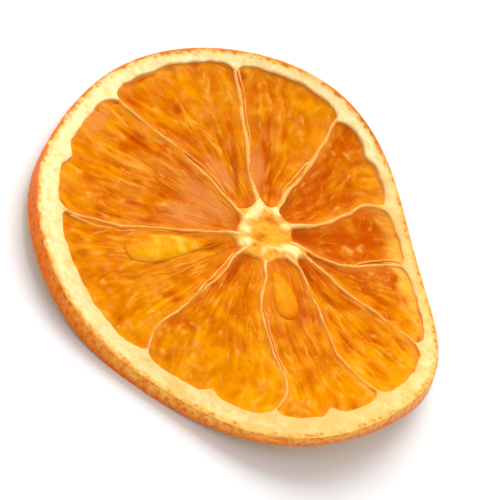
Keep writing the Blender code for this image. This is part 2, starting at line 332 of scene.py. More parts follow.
def turned(direction, start):
    """How far a direction is turned from another, from half a turn back to half a turn on."""
    return (direction - start + math.pi) % TURN - math.pi


def noise(x, y, salt, around=1024):
    """Smooth noise from -1 to 1: a chance at each whole point, blended along x and y by S-curves.

    Each salt gives another noise. It repeats in x after the number around, which closes it round a ring."""
    i = np.floor(x).astype(int)
    j = np.floor(y).astype(int)
    across = smooth_step(x - i, 0.0, 1.0)
    along = smooth_step(y - j, 0.0, 1.0)
    low = chance(i % around, j, salt) * (1 - across) + chance((i + 1) % around, j, salt) * across
    high = chance(i % around, j + 1, salt) * (1 - across) + chance((i + 1) % around, j + 1, salt) * across
    return 2.0 * (low * (1 - along) + high * along) - 1.0


def rough(x, y, salt, octaves=3, around=512):
    """Noise with finer noise on it, each octave twice as fine and half as strong as the one before."""
    total = 0.0
    for octave in range(octaves):
        scale = 2**octave
        total = total + noise(x * scale, y * scale, salt + octave, around * scale) / scale
    return total


def cells(x, y, salt, around=1024):
    """Cells round one scattered point in each unit square.

    Gives the length to the nearest point, how much further the second nearest is, which is 0 on the wall of
    two cells, the nearest one's own chance, and a slope across its cell in a direction of its own."""
    i = np.floor(x).astype(int)
    j = np.floor(y).astype(int)
    nearest = np.full(x.shape, 9.0)
    second = np.full(x.shape, 9.0)
    own = np.zeros(x.shape)
    slope = np.zeros(x.shape)
    for step_i in (-1, 0, 1):
        for step_j in (-1, 0, 1):
            at_i = i + step_i
            at_j = j + step_j
            point_x = at_i + 0.1 + 0.8 * chance(at_i % around, at_j, salt)
            point_y = at_j + 0.1 + 0.8 * chance(at_i % around, at_j, salt + 5)
            length = np.hypot(x - point_x, y - point_y)
            closer = length < nearest
            second = np.where(closer, nearest, np.minimum(second, length))
            own = np.where(closer, chance(at_i % around, at_j, salt + 9), own)
            rise_x = chance(at_i % around, at_j, salt + 11) - 0.5
            rise_y = chance(at_i % around, at_j, salt + 13) - 0.5
            slope = np.where(closer, (x - point_x) * rise_x + (y - point_y) * rise_y, slope)
            nearest = np.where(closer, length, nearest)
    return nearest, second - nearest, own, slope


def patches(x, y, places):
    """1 in the middle of each elliptic patch, falling off as a bell curve; where patches meet, the larger."""
    total = np.zeros(np.broadcast(x, y).shape)
    for centre_x, centre_y, half_length, half_width, turn in places:
        cos = math.cos(math.radians(turn))
        sin = math.sin(math.radians(turn))
        along = ((x - centre_x) * cos + (y - centre_y) * sin) / half_length
        aside = ((y - centre_y) * cos - (x - centre_x) * sin) / half_width
        total = np.maximum(total, np.exp(-(along**2) - aside**2))
    return total


# Where things are on the cut face.
def wave_sum(direction, waves):
    """The sum of waves round the slice, each a cosine with its crest at its own direction."""
    total = np.zeros_like(direction)
    for count, height, crest in waves:
        total += height * np.cos(count * (direction - math.radians(crest)))
    return total


def rim_point(direction):
    """X and Y of the rim: the face radius with the outline waves on it."""
    radius = FACE_RADIUS * (1.0 + wave_sum(direction, OUTLINE_WAVES))
    return radius * np.cos(direction), radius * np.sin(direction)


def ray_length(direction):
    """Length of the straight way from the core's centre to the rim."""
    rim_x, rim_y = rim_point(direction)
    return np.hypot(rim_x - CORE_CENTRE[0], rim_y - CORE_CENTRE[1])


def face_point(out, direction):
    """X and Y of the place that share of the way from the core's centre to the rim."""
    rim_x, rim_y = rim_point(direction)
    x = CORE_CENTRE[0] + out * (rim_x - CORE_CENTRE[0])
    y = CORE_CENTRE[1] + out * (rim_y - CORE_CENTRE[1])
    return x, y


def membrane_direction(index, out):
    """Direction of a membrane: the cubic through its four stations, wavering a little from side to side."""
    table = np.radians(MEMBRANES[index % len(MEMBRANES)])
    turned = np.clip(out, STATIONS[0], LAST_TURN)
    total = TURN * (index // len(MEMBRANES)) + 0.0 * out
    for this, station in enumerate(STATIONS):
        weight = 1.0
        for other in STATIONS[:this] + STATIONS[this + 1:]:
            weight = weight * (turned - other) / (station - other)
        total = total + weight * table[this]
    length = np.maximum(out * FACE_RADIUS, 2.0)
    salt = index % len(MEMBRANES)
    waver = MEMBRANE_WAVER * rough(length / 3.2, 0.0 * length + 0.5, 40 + salt, 2)
    return total + waver * smooth_step(length, 3.0, 7.0) / length


def edge_width(direction):
    """Width of flavedo and pith together, from the rim to the pulp, with the pith's bumps."""
    width = FLAVEDO_WIDTH + PITH_WIDTH + wave_sum(direction, PITH_WAVES)
    for where, reach, half_width in PITH_BUMPS:
        width = width + reach * bell(turned(direction, math.radians(where)) / math.radians(half_width))
    return width


def pith_edge(direction):
    """The same width where the pith also runs out to a corner at each membrane and has a frayed edge."""
    width = edge_width(direction)
    for index in range(len(MEMBRANES)):
        ends = membrane_direction(index, 1.0 - width / ray_length(direction))
        away = np.abs(turned(direction, ends)) * FACE_RADIUS
        width = width + CORNER_REACH * np.exp(-away / CORNER_WIDTH)
    turn = direction / TURN
    return width + PITH_FRAY * rough(turn * 110, 0.0 * turn, 61, 3, 110)


def warp_height(x, y):
    """Height of the warped middle sheet: a saddle kept level at its feet, and a three-armed wave."""
    share = np.hypot(x, y) / FACE_RADIUS
    turn = np.arctan2(y, x) - FOOT_DIRECTION
    saddle = SADDLE_LIFT * (share * np.cos(turn) - share**2 * np.cos(2 * turn))
    return saddle - TREFOIL_LIFT * share**3 * np.cos(3 * turn)


def warped(x, y, lift):
    """The point that stands lift off the warped middle sheet, along the sheet's own normal.

    The underside reaches a little further out than the top in places, and in others less far."""
    down = (RIND_LEVEL - lift) / (2 * RIND_LEVEL)
    grown = 1.0 + down * wave_sum(np.arctan2(y, x), UNDERSIDE_WAVES)
    x = x * grown
    y = y * grown
    step = 0.05
    slope_x = (warp_height(x + step, y) - warp_height(x - step, y)) / (2 * step)
    slope_y = (warp_height(x, y + step) - warp_height(x, y - step)) / (2 * step)
    rise = lift / np.sqrt(1.0 + slope_x**2 + slope_y**2)
    return np.stack([x - slope_x * rise, y - slope_y * rise, warp_height(x, y) + rise], -1)


def rim_wall(direction, share):
    """The rind's bare outer wall: a superellipse from its top edge, share 0, round its bulge to its foot."""
    swing = math.pi * (0.5 - share)
    lift = RIND_LEVEL * np.sign(np.sin(swing)) * np.abs(np.sin(swing)) ** RIM_ROUNDNESS
    bulge = RIM_BULGE * np.abs(np.cos(swing)) ** RIM_ROUNDNESS
    return lift + 0.0 * direction, bulge + 0.0 * direction


def standing():
    """How the slice is set down, worked out from its bare rim.

    The tilt that levels its three lowest places, one in each third round it, then the shift that puts its
    feet on the floor and its middle over the middle of the solid's box."""
    direction = np.linspace(0.0, TURN, 2000, endpoint=False)[:, None]
    lift, bulge = rim_wall(direction, np.linspace(0.0, 1.0, 25)[None, :])
    points = warped(*face_point(1.0 + bulge / ray_length(direction), direction), lift).reshape(-1, 3)
    turn = np.arctan2(points[:, 1], points[:, 0]) - FOOT_DIRECTION
    third = np.round(turn / (TURN / 3)).astype(int) % 3
    feet = []
    for number in range(3):
        own = points[third == number]
        feet.append(own[own[:, 2].argmin()])
    feet = np.array(feet)
    plane = np.linalg.solve(np.column_stack([feet[:, :2], np.ones(3)]), feet[:, 2])
    points[:, 2] -= points[:, 0] * plane[0] + points[:, 1] * plane[1]
    low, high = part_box(NODE)
    middle = np.array([low[0] + high[0], low[1] + high[1]]) / 2 * METRE
    shift = (points[:, :2].min(0) + points[:, :2].max(0)) / 2 - middle
    return plane, np.array([*shift, points[:, 2].min() + FOOT_FLAT])


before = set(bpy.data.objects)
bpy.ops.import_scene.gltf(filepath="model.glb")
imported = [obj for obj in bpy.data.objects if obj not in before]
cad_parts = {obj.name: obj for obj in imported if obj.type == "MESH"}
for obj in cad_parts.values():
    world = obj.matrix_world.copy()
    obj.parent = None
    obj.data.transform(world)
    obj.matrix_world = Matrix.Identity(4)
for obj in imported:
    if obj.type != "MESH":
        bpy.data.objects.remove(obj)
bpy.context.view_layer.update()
TILT, SHIFT = standing()


def placed(x, y, lift):
    """Points of the standing slice, in metres, never below the floor."""
    points = warped(x, y, lift)
    points[..., 2] -= points[..., 0] * TILT[0] + points[..., 1] * TILT[1]
    points = points - SHIFT
    points[..., 2] = np.maximum(points[..., 2], 0.0)
    return points / METRE


# Making pieces.
def grid_faces(rows, columns, closed_rows=False, closed_columns=False):
    """Four-sided faces between the points of a grid, whose numbers run along its columns."""
    row = np.arange(rows if closed_rows else rows - 1)[:, None] * columns
    column = np.arange(columns if closed_columns else columns - 1)[None, :]
    next_row = (row + columns) % (rows * columns)
    next_column = (column + 1) % columns
    corners = (row + column, next_row + column, next_row + next_column, row + next_column)
    return np.stack(corners, -1).reshape(-1, 4)


def add(name, data):
    """A new object in the scene."""
    made = bpy.data.objects.new(name, data)
    bpy.context.scene.collection.objects.link(made)
    return made


def make_piece(name, points, faces, finish, values, uv=None):
    """One piece from points in metres and four-sided faces, with a number at each point for each value."""
    points = points.reshape(-1, 3)
    mesh = bpy.data.meshes.new(name)
    mesh.vertices.add(len(points))
    mesh.vertices.foreach_set("co", points.astype(np.float32).ravel())
    corners = faces.ravel().astype(np.int32)
    mesh.loops.add(len(corners))
    mesh.loops.foreach_set("vertex_index", corners)
    mesh.polygons.add(len(faces))
    mesh.polygons.foreach_set("loop_start", np.arange(0, len(corners), 4, dtype=np.int32))
    mesh.update(calc_edges=True)
    mesh.polygons.foreach_set("use_smooth", np.ones(len(faces), bool))
    for label, numbers in values.items():
        layer = mesh.attributes.new(label, "FLOAT", "POINT")
        layer.data.foreach_set("value", numbers.astype(np.float32).ravel())
    if uv is not None:
        layer = mesh.uv_layers.new(name="surface")
        layer.data.foreach_set("uv", uv.reshape(-1, 2)[corners].astype(np.float32).ravel())
    mesh.materials.append(finish)
    mesh.validate()
    piece = add(name, mesh)
    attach(piece, BODY)
    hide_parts(NODE)


def slab_faces(rows, columns):
    """Faces of a slab made of an upper grid and, after it, a lower one, joined round their borders."""
    lower = rows * columns
    upper_faces = grid_faces(rows, columns)
    parts = [upper_faces, lower + upper_faces[:, ::-1]]
    along = np.arange(columns - 1)
    down = np.arange(rows - 1) * columns
    for first, step, flipped in (
        (along, 1, False),
        (along + (rows - 1) * columns, 1, True),
        (down, columns, True),
        (down + columns - 1, columns, False),
    ):
        strip = np.stack([first, first + step, lower + first + step, lower + first], -1)
        parts.append(strip[:, ::-1] if flipped else strip)
    return np.concatenate(parts)


def slab(name, x, y, finish, lifts, marks, uv=None):
    """A piece with an upper and a lower side over the same places, each with its height and its marks."""
    points = np.stack([placed(x, y, side * lift) for side, lift in zip(SIDES, lifts)])
    values = {label: np.stack([own[label] for own in marks]) for label in marks[0]}
    make_piece(name, points, slab_faces(*x.shape), finish, values, uv)


def cap_faces(first, columns):
    """A ladder of faces from side to side that shuts the end of a tube at the ring that starts at first."""
    near = np.arange(columns // 2 - 1)
    return first + np.stack([near, near + 1, columns - 2 - near, columns - 1 - near], -1)


def tube_faces(rows, columns):
    """Faces of a tube along its rows and round its columns, with both ends shut."""
    last = (rows - 1) * columns
    side = grid_faces(rows, columns, closed_columns=True)
    return np.concatenate([side, cap_faces(0, columns)[:, ::-1], cap_faces(last, columns)])


def face_place(x, y):
    """The share of the way out and the direction of a place on the face, from a table of rim directions."""
    direction = np.linspace(0.0, TURN, 4001)
    rim_x, rim_y = rim_point(direction)
    angle = np.unwrap(np.arctan2(rim_y - CORE_CENTRE[1], rim_x - CORE_CENTRE[0]))
    away_x = x - CORE_CENTRE[0]
    away_y = y - CORE_CENTRE[1]
    own = (np.arctan2(away_y, away_x) - angle[0]) % TURN + angle[0]
    found = np.interp(own, angle, direction)
    return np.hypot(away_x, away_y) / ray_length(found), found


def segment_place(x, y):
    """The segment of a place, its length from the nearer membrane and its length from the core's centre."""
    out, direction = face_place(x, y)
    from_core = out * ray_length(direction)
    segment = np.zeros(x.shape, int)
    beside = np.full(x.shape, 99.0)
    for index in range(len(MEMBRANES)):
        this = membrane_direction(index, out)
        after = membrane_direction(index + 1, out)
        away = (direction - this) % TURN
        segment = np.where(away < after - this, index, segment)
        beside = np.minimum(beside, np.minimum(away, TURN - away) * from_core)
    return segment, beside, from_core


def smooth_least(first, second, rounding):
    """The lesser of two numbers, rounded off where they are about the same."""
    share = np.clip(0.5 + 0.5 * (second - first) / rounding, 0.0, 1.0)
    return second * (1.0 - share) + first * share - rounding * share * (1.0 - share)


def rind_face(turn, side):
    """The rind's cut face on one side, as rows from its hidden inner wall out to the rim.

    Two rows are under the pulp, a quarter circle makes the pith's shoulder, and the rest cross pith and
    flavedo. The pith has a cottony relief, and cut oil glands leave pits along the flavedo."""
    direction = turn * TURN
    edge = pith_edge(direction) + 0.10 * side * rough(turn * 90, 0.0 * turn, 71, 2, 90)
    shoulder = SHOULDER_RADIUS + 0.08 * noise(turn * 60, 0.0 * turn, 72, 60)
    corner = np.linspace(0.0, 1.0, SHOULDER_ROWS)[:, None] * math.pi / 2
    share = np.linspace(1.0, 0.0, RIND_FACE_ROWS + 1)[1:, None]
    hidden = np.array(HIDDEN_ROWS)
    from_rim = np.concatenate([
        edge + hidden[:, :1],
        edge - shoulder + shoulder * np.cos(corner),
        (edge - shoulder) * share,
    ])
    drop = np.concatenate([
        hidden[:, 1:] + 0.0 * turn,
        shoulder * (1.0 - np.sin(corner)),
        0.0 * share + 0.0 * turn,
    ])
    blur = from_rim - FLAVEDO_FRAY * rough(turn * 150, from_rim / 1.1, 70, 3, 150)
    pith = smooth_step(blur, 0.05, 0.65)
    level = PITH_LEVEL + (RIND_LEVEL - PITH_LEVEL) * smooth_step(from_rim, FLAVEDO_WIDTH + PITH_WIDTH, 0.0)
    cotton = COTTON_FIBRES * rough(turn * 240, from_rim / 0.8, 73 + side, 3, 240)
    cotton = cotton + COTTON_LUMPS * noise(turn * 48, from_rim / 2.2, 77 + side, 48)
    fade = smooth_step(from_rim, 0.0, 0.5) * smooth_step(drop, 0.7, 0.2)
    gland_row = from_rim / 0.95 + 0.3 + 0.3 * noise(turn * 80, 0.0 * turn, 79, 80)
    length, _, own, _ = cells(turn * GLANDS, gland_row, 80 + side, GLANDS)
    gland = smooth_step(length, 0.56, 0.12) * smooth_step(from_rim, 1.1, 0.4) * smooth_step(own, 0.0, 0.6)
    lift = side * (level - drop + fade * (cotton * pith - GLAND_DEPTH * gland))
    # The last mark is 1 where the pith's inner wall drops under its shoulder, which is painted with shade.
    return from_rim, lift, pith, gland * fade, smooth_step(drop, 0.04, 0.45)


def rind():
    """The peel and the pith: a closed ring whose profile goes up the inner wall, out, down the rim and back.

    The rim's bare wall is a superellipse with the skin's pores and slight dents in it."""
    turn = np.linspace(0.0, 1.0, RIND_COLUMNS, endpoint=False)[None, :]
    direction = turn * TURN
    top = rind_face(turn, 1)
    bottom = rind_face(turn, -1)
    lift, bulge = rim_wall(direction, np.linspace(0.0, 1.0, RIM_ROWS + 2)[1:-1, None])
    length, _, own, _ = cells(turn * PORES, lift / 0.8 + 7.0, 82, PORES)
    pore = smooth_step(length, 0.45, 0.12) * (0.4 + 0.6 * own)
    dents = PEEL_DENTS * noise(turn * 40, lift / 2.0, 84, 40)
    dents = dents + PEEL_WRINKLES * rough(turn * 150, lift, 85, 2, 150)
    inner = smooth_step(np.abs(lift), RIND_LEVEL, RIND_LEVEL * 0.8)
    bulge = bulge + inner * (dents - PORE_DEPTH * pore) - PEEL_INSET
    # Painted shade: the peel turns darker and redder down its wall towards its foot, and on the underside.
    below = smooth_step(lift, 0.6 * RIND_LEVEL, -RIND_LEVEL)
    pale = 0.5 + 0.5 * np.cos(direction - math.radians(PALEST_DIRECTION))
    for where, half_width, share in PALE_PLACES:
        pale = pale + share * bell(turned(direction, math.radians(where)) / math.radians(half_width))
    wall = (-bulge, lift, 0.0 * lift, pore, 0.0 * lift)
    joined = [np.concatenate([upper, middle, lower[::-1]]) for upper, middle, lower in zip(top, wall, bottom)]
    from_rim, lift, pith, gland, sunk = joined
    values = {
        "inward": from_rim,
        "pith": pith,
        "gland": gland,
        "sunk": sunk,
        "below": np.concatenate([0.0 * top[3], below, 1.0 + 0.0 * bottom[3]]),
        "pale": pale + 0.0 * from_rim,
    }
    x, y = face_point(1.0 - from_rim / ray_length(direction), direction + 0.0 * from_rim)
    faces = grid_faces(len(from_rim), RIND_COLUMNS, closed_rows=True, closed_columns=True)
    make_piece("rind", placed(x, y, lift), faces, rind_finish(), values)


def membrane(number, index, aside, start, end, half, rise):
    """One thin upright tube along a membrane's direction: a superellipse, tall and narrow, on each ring.

    Its crest wavers up and down, leans from side to side and sinks at its ends, and it widens into core and
    pith. A fold starts and ends part way, and swings out beside its membrane as the root of a sine. Gives
    points, crest heights, and tones, which are higher where it joins the core and the pith."""
    around = (np.arange(MEMBRANE_SIDES) + 0.5)[None, :] * TURN / MEMBRANE_SIDES
    across = np.sign(np.sin(around)) * np.abs(np.sin(around)) ** 0.8
    upward = np.sign(np.cos(around)) * np.abs(np.cos(around)) ** 0.4
    far = np.radians(MEMBRANES[index][-1:])
    whole = ray_length(far)[0] - edge_width(far)[0] + 0.7 - MEMBRANE_START
    first = MEMBRANE_START + start * whole
    last = MEMBRANE_START + end * whole
    length = np.linspace(first, last, MEMBRANE_ROWS)[:, None]
    line = 0.0 * length + number
    shown = 1.0 + 0.0 * length
    if aside:
        shown = smooth_step(length, first, first + 1.6) * smooth_step(length, last, last - 1.6)
    width = half * (1.0 + MEMBRANE_UNEVENNESS * rough(length / 1.7, line, 91, 2))
    width = width + MEMBRANE_ROOTS[0] * np.exp(-(length - MEMBRANE_START) / 3.2)
    width = width + MEMBRANE_ROOTS[1] * np.exp(-(last - length) / 1.3)
    width = width * (0.3 + 0.7 * shown)
    crest = MEMBRANE_LEVEL + rise + CREST_WAVER * rough(length / 2.6, line, 92, 3)
    crest = crest + (CORE_LEVEL - MEMBRANE_LEVEL) * smooth_step(length, 9.0, 4.0)
    crest = crest + (PITH_LEVEL - MEMBRANE_LEVEL) * smooth_step(last - length, 4.0, 1.0)
    crest = crest - CREST_SINK[0] * smooth_step(length, 4.6, MEMBRANE_START) - FOLD_SINK * (1.0 - shown)
    crest = crest - CREST_SINK[1] * smooth_step(last - length, 1.0, 0.2)
    lean = MEMBRANE_LEAN * noise(length / 3.4, line, 93) * np.maximum(upward, 0.0)
    swing = aside * np.sqrt(np.maximum(np.sin(math.pi * (length - first) / (last - first)), 0.0))
    direction = membrane_direction(index, length / ray_length(far))
    direction = direction + (swing + lean + across * width) / length
    x, y = face_point(length / ray_length(direction), direction)
    tone = smooth_step(length, 10.0, 4.0) + smooth_step(last - length, 3.0, 0.6) + 0.0 * around
    return placed(x, y, upward * crest), np.abs(upward) * crest, tone


def membranes():
    """The ten walls between the segments, and the folds beside some."""
    forms = [(index, 0.0, 0.0, 1.0, *form) for index, form in enumerate(MEMBRANE_FORMS)]
    tubes = [membrane(number, *form) for number, form in enumerate(forms + list(FOLDS))]
    points, crests, tones = (np.stack(part) for part in zip(*tubes))
    starts = np.arange(len(tubes))[:, None, None] * MEMBRANE_ROWS * MEMBRANE_SIDES
    faces = (starts + tube_faces(MEMBRANE_ROWS, MEMBRANE_SIDES)).reshape(-1, 4)
    make_piece("membranes", points, faces, membrane_finish(), {"crest": crests, "tone": tones})


def core_surface(x, y, side):
    """Height of the core and its marks: a plate with arms along the membranes, falling away beside them.

    Pale lumps, merged where they meet, stand up from it, with pits and a slight hollow between them."""
    segment, beside, from_core = segment_place(x, y)
    reach = np.array(CORE_REACH)[segment]
    past = from_core - reach + 0.25 * noise(x / 1.2, y / 1.2, 101 + side)
    inside = smooth_least(beside - 0.25, past, 1.3)
    plate = smooth_step(inside, 0.45, -0.25) * smooth_step(from_core, 9.0, 7.0)
    ragged_x = x + 0.35 * rough(x / 1.1, y / 1.1, 104, 2)
    ragged_y = y + 0.35 * rough(x / 1.1, y / 1.1, 105, 2)
    open_share = np.ones(x.shape)
    for *lobe, height in CORE_LOBES:
        open_share = open_share * (1.0 - 0.95 * height * patches(ragged_x, ragged_y, (lobe,)))
    lobes = smooth_step(1.0 - open_share, 0.15, 0.95)
    pits = patches(ragged_x, ragged_y, CORE_PITS)
    middle = patches(x, y, CORE_MIDDLE)
    fibres = CORE_FIBRES * rough(x / 0.5, y / 0.5, 101 + side, 3)
    fibres = fibres + CORE_SWELLING * noise(x / 1.3, y / 1.3, 106 + side)
    level = CORE_PLATE + CORE_LOBE_RISE * lobes - CORE_PIT_DEPTH * pits * (1.0 - 0.5 * lobes)
    level = level - CORE_MIDDLE_DEPTH * middle + fibres
    marks = {"plate": plate, "lobes": lobes, "pits": pits, "middle": middle}
    return CORE_UNDER_PULP + plate * (level - CORE_UNDER_PULP), marks


def core():
    """The core: a slab over a square of the face, its upper and lower sides each with the core's lumps."""
    place = np.linspace(-CORE_HALF, CORE_HALF, CORE_POINTS)
    x, y = np.meshgrid(CORE_CENTRE[0] + place, CORE_CENTRE[1] + place, indexing="ij")
    lifts, marks = zip(*(core_surface(x, y, side) for side in SIDES))
    slab("core", x, y, core_finish(), lifts, marks)


def pulp_surface(x, y, share, from_core, width, beside, to_pith, index, side):
    """Height of the pulp, its marks, and its places across and along the juice sacs.

    It sags between the membranes as a sine and climbs to membranes and pith. Juice sacs are cells drawn out
    towards the core, sunk or swollen, each with its own slope and thin raised walls, pale partly in their own
    colour and partly as painted highlights. Creases are the ridges of a bent noise, painted as highlights.
    Films and the nearness of the core smooth the sacs. The pulp sinks in patches and gaps painted with shade,
    and rises in films, in the pith's fringe, under painted glints and in the glaze round a seed."""
    bright, filmed, outward, sideways = SEGMENT_TONES[index]
    salt = 110 + 7 * index + 3 * side
    top = float(side > 0)
    across = share * max(2.0, round(float(width.max()) / SAC_WIDTH))
    along = from_core / SAC_LENGTH
    u = across + 0.38 * noise(along * 0.8, across * 0.6, salt) + 0.06 * noise(along * 3.0, across, salt + 1)
    v = along + 0.5 * noise(across * 0.9, along * 0.5, salt + 2)
    _, gap, own, slope = cells(u + 20.0, v + 20.0, salt + 3)
    pillow = smooth_step(gap, 0.0, 0.8)
    wall = bell(gap / 0.10) * smooth_step(noise(u * 0.7, v * 0.9, salt + 7), -0.2, 0.7)
    streak = noise(u * 0.9, v * 0.5, salt + 5)
    wrinkle = rough(u * 2.2, v * 3.0, salt + 6, 3)
    # Glints: rare pale spots that are painted highlights, each on a slight rise.
    spot, _, rare, _ = cells(u * 1.1 + 40.0 + 0.3 * wrinkle, v * 2.4 + 40.0, salt + 14)
    glint = smooth_step(spot, 0.45, 0.05) * smooth_step(rare, 0.72, 0.98)
    bent_x = x / 2.1 + 0.7 * noise(x / 3.7, y / 3.7, 141)
    bent_y = y / 2.1 + 0.7 * noise(x / 3.7, y / 3.7, 142)
    crease = (1.0 - np.abs(noise(bent_x, bent_y, 143))) ** 3.5
    crease = crease * smooth_step(noise(x / 2.4, y / 2.4, 144), -0.1, 0.6)
    film = filmed * (0.5 + 0.8 * noise(x / 2.6, y / 2.6, 109))
    film = np.maximum(top * patches(x, y, FILM_PATCHES), film)
    deep = top * patches(x, y, DEEP_PATCHES)
    glaze = top * patches(x, y, SEED_GLAZES)
    gaps = smooth_step(noise(x / 1.6, y / 1.6, 108), 0.45, 0.9) * bell((to_pith - 0.5) / 0.4)
    depth, where, half_width = FRINGE
    seen = np.degrees(np.arctan2(y - CORE_CENTRE[1], x - CORE_CENTRE[0]))
    frayed = to_pith + 1.3 * noise(x / 1.6, y / 1.6, 147) + 0.5 * noise(u * 3.0, v, 148)
    fringe = top * bell((seen - where) / half_width) * smooth_step(frayed, depth, 0.0)
    calm = (1.0 - 0.6 * smooth_step(film, 0.3, 0.9)) * smooth_step(from_core, 2.0, 11.0)
    open_pulp = smooth_step(beside, 0.1, 1.0) * smooth_step(to_pith, 0.1, 0.9)
    edge = np.maximum(np.exp(-beside / 0.55), np.exp(-np.maximum(to_pith, 0.0) / 0.5))
    relief = pillow * (SAC_STEP * (own - 0.4) + SAC_SLOPE * slope) + SAC_WALL * wall
    relief = relief + PULP_STREAK * streak + PULP_WRINKLE * wrinkle
    relief = relief + PULP_SWELLING * noise(x / 1.7, y / 1.7, 145) + PULP_GRAIN * noise(x / 0.8, y / 0.8, 146)
    lift = PULP_LEVEL - PULP_SAG * np.sin(math.pi * np.clip(share, 0.0, 1.0))
    lift = lift + relief * calm * (0.25 + 0.75 * open_pulp)
    lift = lift + PULP_CLIMB * edge - PULP_TUCK * smooth_step(to_pith, 0.0, -0.5)
    lift = lift + FILM_RISE * film - DEEP_DROP * deep + FRINGE_RISE * fringe + GLINT_RISE * glint
    lift = lift + CREASE_RISE * crease * open_pulp
    lift = lift - GAP_DROP * gaps + GLAZE_RISE * glaze * smooth_step(beside, 0.3, 1.6)
    marks = {
        # The wall mark: the sacs' pale walls and the creases, partly their own pale colour and partly painted
        # highlights.
        "wall": np.maximum(0.4 * wall * calm, crease * (0.3 + 0.8 * film)) * open_pulp,
        "glint": glint * open_pulp,
        "own": 0.5 + (own - 0.5) * pillow * smooth_step(from_core, 4.0, 10.0),
        "calm": calm,
        "raised": smooth_step(relief, -0.22, 0.25),
        # The deep mark is painted shade in the sunk patches and gaps.
        "deep": np.maximum(deep, 0.7 * gaps),
        "film": film,
        "fringe": fringe,
        "glaze": glaze,
        "side": np.maximum(np.exp(-beside / 0.5), 0.7 * np.exp(-np.maximum(to_pith, 0.0) / 0.4)),
        "light": bright + outward * (from_core / (from_core + to_pith) - 0.62) + sideways * (share - 0.5),
    }
    return lift, marks, np.stack([u, v], -1)


def pulp(index):
    """The pulp of one segment: a slab between its membranes, from under the core out to under the pith."""
    span = MEMBRANES[(index + 1) % len(MEMBRANES)][-1] - MEMBRANES[index][-1]
    columns = int(math.radians(span % 360.0) * FACE_RADIUS / PULP_SPACING)
    even = np.linspace(0.0, 1.0, columns)[None, :]
    share = even - PULP_CROWDING * np.sin(TURN * even) / TURN
    first = membrane_direction(index, np.array([[1.0]]))
    second = membrane_direction(index + 1, np.array([[1.0]]))
    outer = first + share * (second - first)
    ray = ray_length(outer)
    start = (CORE_REACH[index] - 1.4) / ray
    end = 1.0 - (edge_width(outer) - 0.8) / ray
    out = start + (end - start) * np.linspace(0.0, 1.0, PULP_ROWS)[:, None]
    first = membrane_direction(index, out)
    second = membrane_direction(index + 1, out)
    direction = first + share * (second - first)
    ray = ray_length(direction)
    from_core = out * ray
    width = (second - first) * from_core
    beside = width * np.minimum(share, 1.0 - share)
    to_pith = (1.0 - out) * ray - pith_edge(direction)
    x, y = face_point(out, direction)
    where = (x, y, share, from_core, width, beside, to_pith, index)
    lifts, marks, places = zip(*(pulp_surface(*where, side) for side in SIDES))
    slab(f"pulp_{index + 1}", x, y, PULP_FINISH, lifts, marks, np.stack(places))


def seed(number, centre, pointing, length, width, height):
    """A seed half sunk in the pulp: round rings along its length, as in an ellipsoid that narrows to one end.

    It bends to one side as a parabola and has fine ridges along it."""
    angle = math.radians(pointing)
    along = np.sin(np.linspace(-0.5, 0.5, SEED_RINGS) * math.pi * 0.985)[:, None]
    around = np.linspace(0.0, TURN, SEED_SIDES, endpoint=False)[None, :] + math.pi / SEED_SIDES
    girth = np.sqrt(1.0 - along**2) * (1.0 - SEED_TAPER * along)
    ridges = 1.0 + SEED_RIDGES[0] * noise(around * 14 / TURN, along * 1.6, 130 + number, 14)
    ridges = ridges + SEED_RIDGES[1] * rough(around * 5 / TURN, along * 2.5, 133 + number, 2, 5)
    reach = along * length / 2 + 0.0 * around
    aside = girth * np.sin(around) * width / 2 * ridges
    bend = SEED_BENDS[number] * (1.0 - along**2)
    raised = girth * np.cos(around) * height / 2 * ridges
    x = centre[0] + reach * math.cos(angle) - (aside + bend) * math.sin(angle)
    y = centre[1] + reach * math.sin(angle) + (aside + bend) * math.cos(angle)
    lift = PULP_LEVEL - PULP_SAG + SEED_LIFT + raised
    values = {
        "middle": (1.0 - along**4) * np.maximum(np.cos(around), 0.0) ** 0.7,
        "side": SEED_PAINTED_GLOW_SIDES[number] * np.sin(around) + 0.0 * along,
        "glow": SEED_GLOWS[number] + 0.0 * aside,
    }
    faces = tube_faces(SEED_RINGS, SEED_SIDES)
    make_piece(f"seed_{number + 1}", placed(x, y, lift), faces, SEED_FINISH, values)


# Finishes.
class Number:
    """A number, colour or vector worked out in a finish, and the arithmetic that makes new ones from it."""

    def __init__(self, finish, socket):
        self.finish = finish
        self.socket = socket

    def reckon(self, operation, *terms):
        return self.finish.node("ShaderNodeMath", {"operation": operation}, dict(enumerate(terms)))

    def __add__(self, other):
        return self.reckon("ADD", self, other)

    def __sub__(self, other):
        return self.reckon("SUBTRACT", self, other)

    def __rsub__(self, other):
        return self.reckon("SUBTRACT", other, self)

    def __mul__(self, other):
        return self.reckon("MULTIPLY", self, other)

    __radd__ = __add__
    __rmul__ = __mul__

    def held(self):
        """The same number kept from 0 to 1."""
        return self.finish.node("ShaderNodeClamp", {}, {0: self})

    def between(self, low, high):
        """0 at low and 1 at high, with an S-shaped change between them."""
        inputs = {"Value": self, "From Min": low, "From Max": high}
        return self.finish.node("ShaderNodeMapRange", {"interpolation_type": "SMOOTHSTEP"}, inputs)


